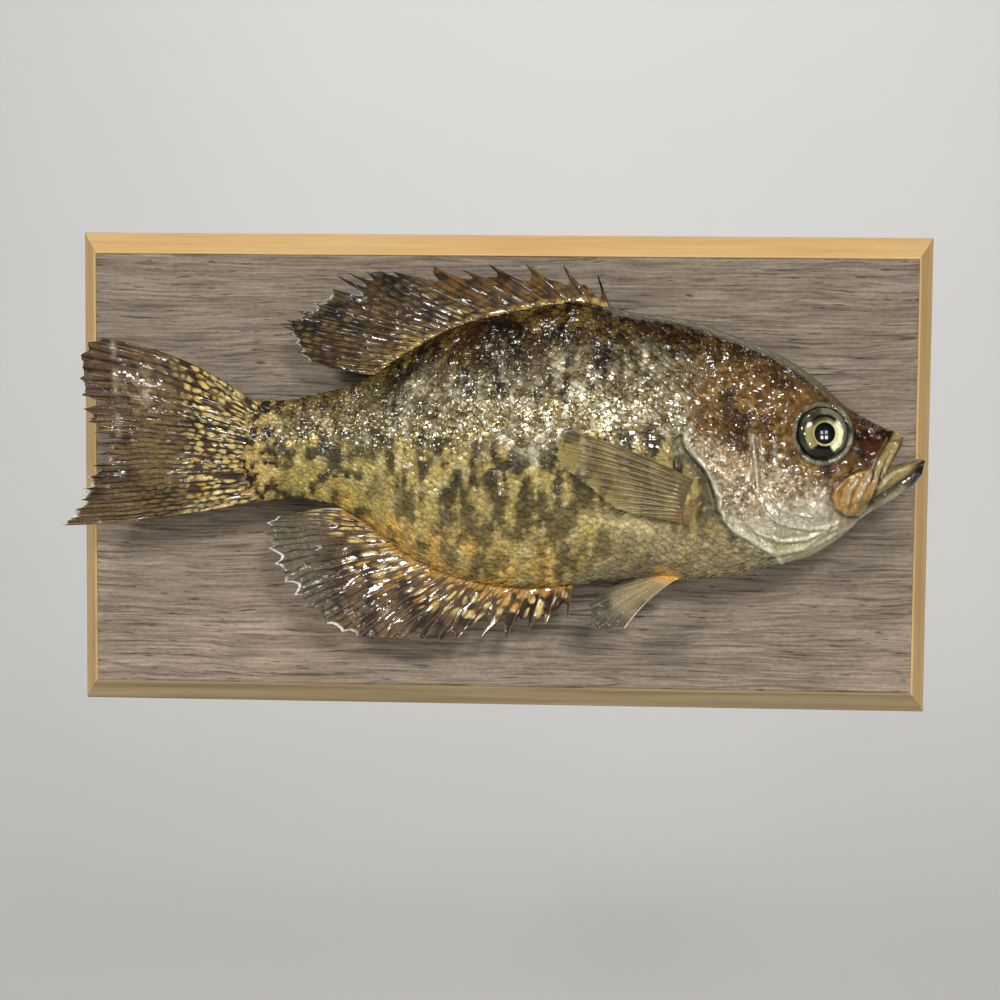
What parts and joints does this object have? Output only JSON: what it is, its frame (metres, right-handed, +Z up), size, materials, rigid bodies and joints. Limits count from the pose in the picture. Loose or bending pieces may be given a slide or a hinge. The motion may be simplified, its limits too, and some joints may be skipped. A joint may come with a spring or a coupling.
{
  "type": "mounted black crappie trophy fish",
  "caption": "Life-size mounted black crappie with spread fins and open mouth, fixed to a weathered wall plaque with bevelled edge strips.",
  "frame": {"origin": "centre of the plaque's back face, on the wall plane", "axes": "+X towards the fish's snout, +Y into the wall, +Z up"},
  "size_m": [0.33, 0.069, 0.184],
  "materials": {
    "weathered_board": "grey-brown weathered barn wood, matt, with open horizontal grain",
    "edge_wood": "clear-finished yellow pine strip, satin",
    "hanger_steel": "plated steel, satin",
    "fish_skin": "scaled fish skin, olive with dark mottling, under a thick gloss lacquer",
    "fish_fin": "dried fin membrane and rays, dark with yellow spots, gloss lacquer",
    "glass_eye": "clear glass over a painted cream and gold iris with a black pupil"
  },
  "bodies": {
    "root": {"board_panel": "weathered_board", "frame_top": "edge_wood", "frame_bottom": "edge_wood", "frame_left": "edge_wood", "frame_right": "edge_wood", "hanger": "hanger_steel", "trunk": "fish_skin", "tail_stalk": "fish_skin", "head": "fish_skin", "gill_cover_right": "fish_skin", "gill_cover_left": "fish_skin", "upper_jaw": "fish_skin", "lower_jaw": "fish_skin", "dorsal_fin": "fish_fin", "anal_fin": "fish_fin", "tail_fin": "fish_fin", "pectoral_fin_right": "fish_fin", "pectoral_fin_left": "fish_fin", "pelvic_fin_right": "fish_fin", "pelvic_fin_left": "fish_fin", "eye_right": "glass_eye", "eye_left": "glass_eye"}
  },
  "joints": []
}
